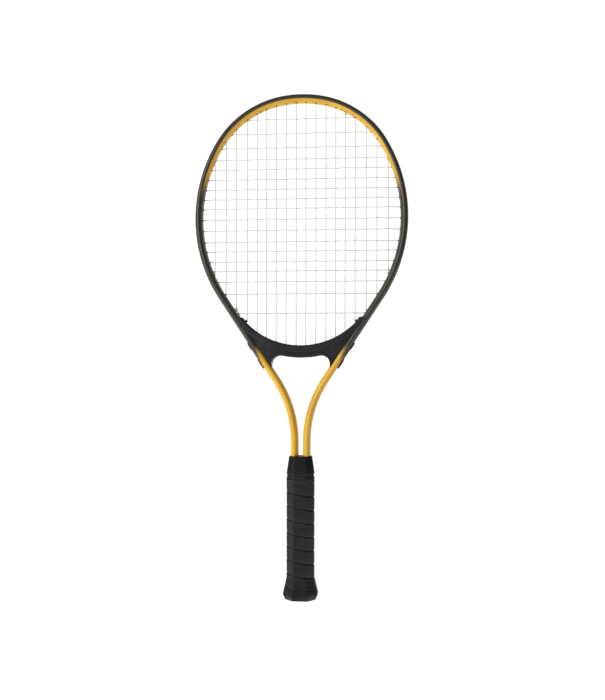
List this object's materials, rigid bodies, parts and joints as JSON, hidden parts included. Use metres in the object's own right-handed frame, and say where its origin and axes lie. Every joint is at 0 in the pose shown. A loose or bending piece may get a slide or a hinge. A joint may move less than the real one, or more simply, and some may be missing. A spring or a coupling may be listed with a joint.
{
  "type": "tennis racket",
  "caption": "Strung adult tennis racket with an oval tube frame, open throat with moulded bridge, woven string bed and wrapped octagonal handle.",
  "frame": {"origin": "centre of the butt cap's end face", "axes": "+Z from the butt to the crown of the head, X across the head, Y through the strings with the mains' side at -Y"},
  "size_m": [0.2906, 0.042, 0.6858],
  "materials": {
    "frame_paint": "gloss enamel, gunmetal sprayed over golden yellow",
    "bridge_plastic": "satin moulded",
    "grommet_nylon": "satin moulded",
    "screw_steel": "plated",
    "string_nylon": "translucent monofilament",
    "shell_plastic": "moulded",
    "collar_rubber": "matt",
    "butt_plastic": "fine moulded grain",
    "grip_polyurethane": "smooth synthetic leather",
    "tape_vinyl": "semi-gloss tape"
  },
  "bodies": {
    "root": {"frame_tube": "frame_paint", "throat_bridge": "bridge_plastic", "grommet_strip_top": "grommet_nylon", "grommet_strip_left": "grommet_nylon", "grommet_strip_right": "grommet_nylon", "throat_strip_left": "grommet_nylon", "throat_strip_right": "grommet_nylon", "bridge_strip": "grommet_nylon", "throat_saddle_left": "bridge_plastic", "throat_saddle_right": "bridge_plastic", "throat_screw_left": "screw_steel", "throat_screw_right": "screw_steel", "main_string": "string_nylon", "cross_string": "string_nylon", "tie_off_knots": "string_nylon", "handle_shell_front": "shell_plastic", "handle_shell_back": "shell_plastic", "handle_screws": "screw_steel", "handle_collar": "collar_rubber", "butt_cap": "butt_plastic", "grip_wrap": "grip_polyurethane", "finishing_tape": "tape_vinyl", "butt_staples": "screw_steel"}
  },
  "joints": []
}
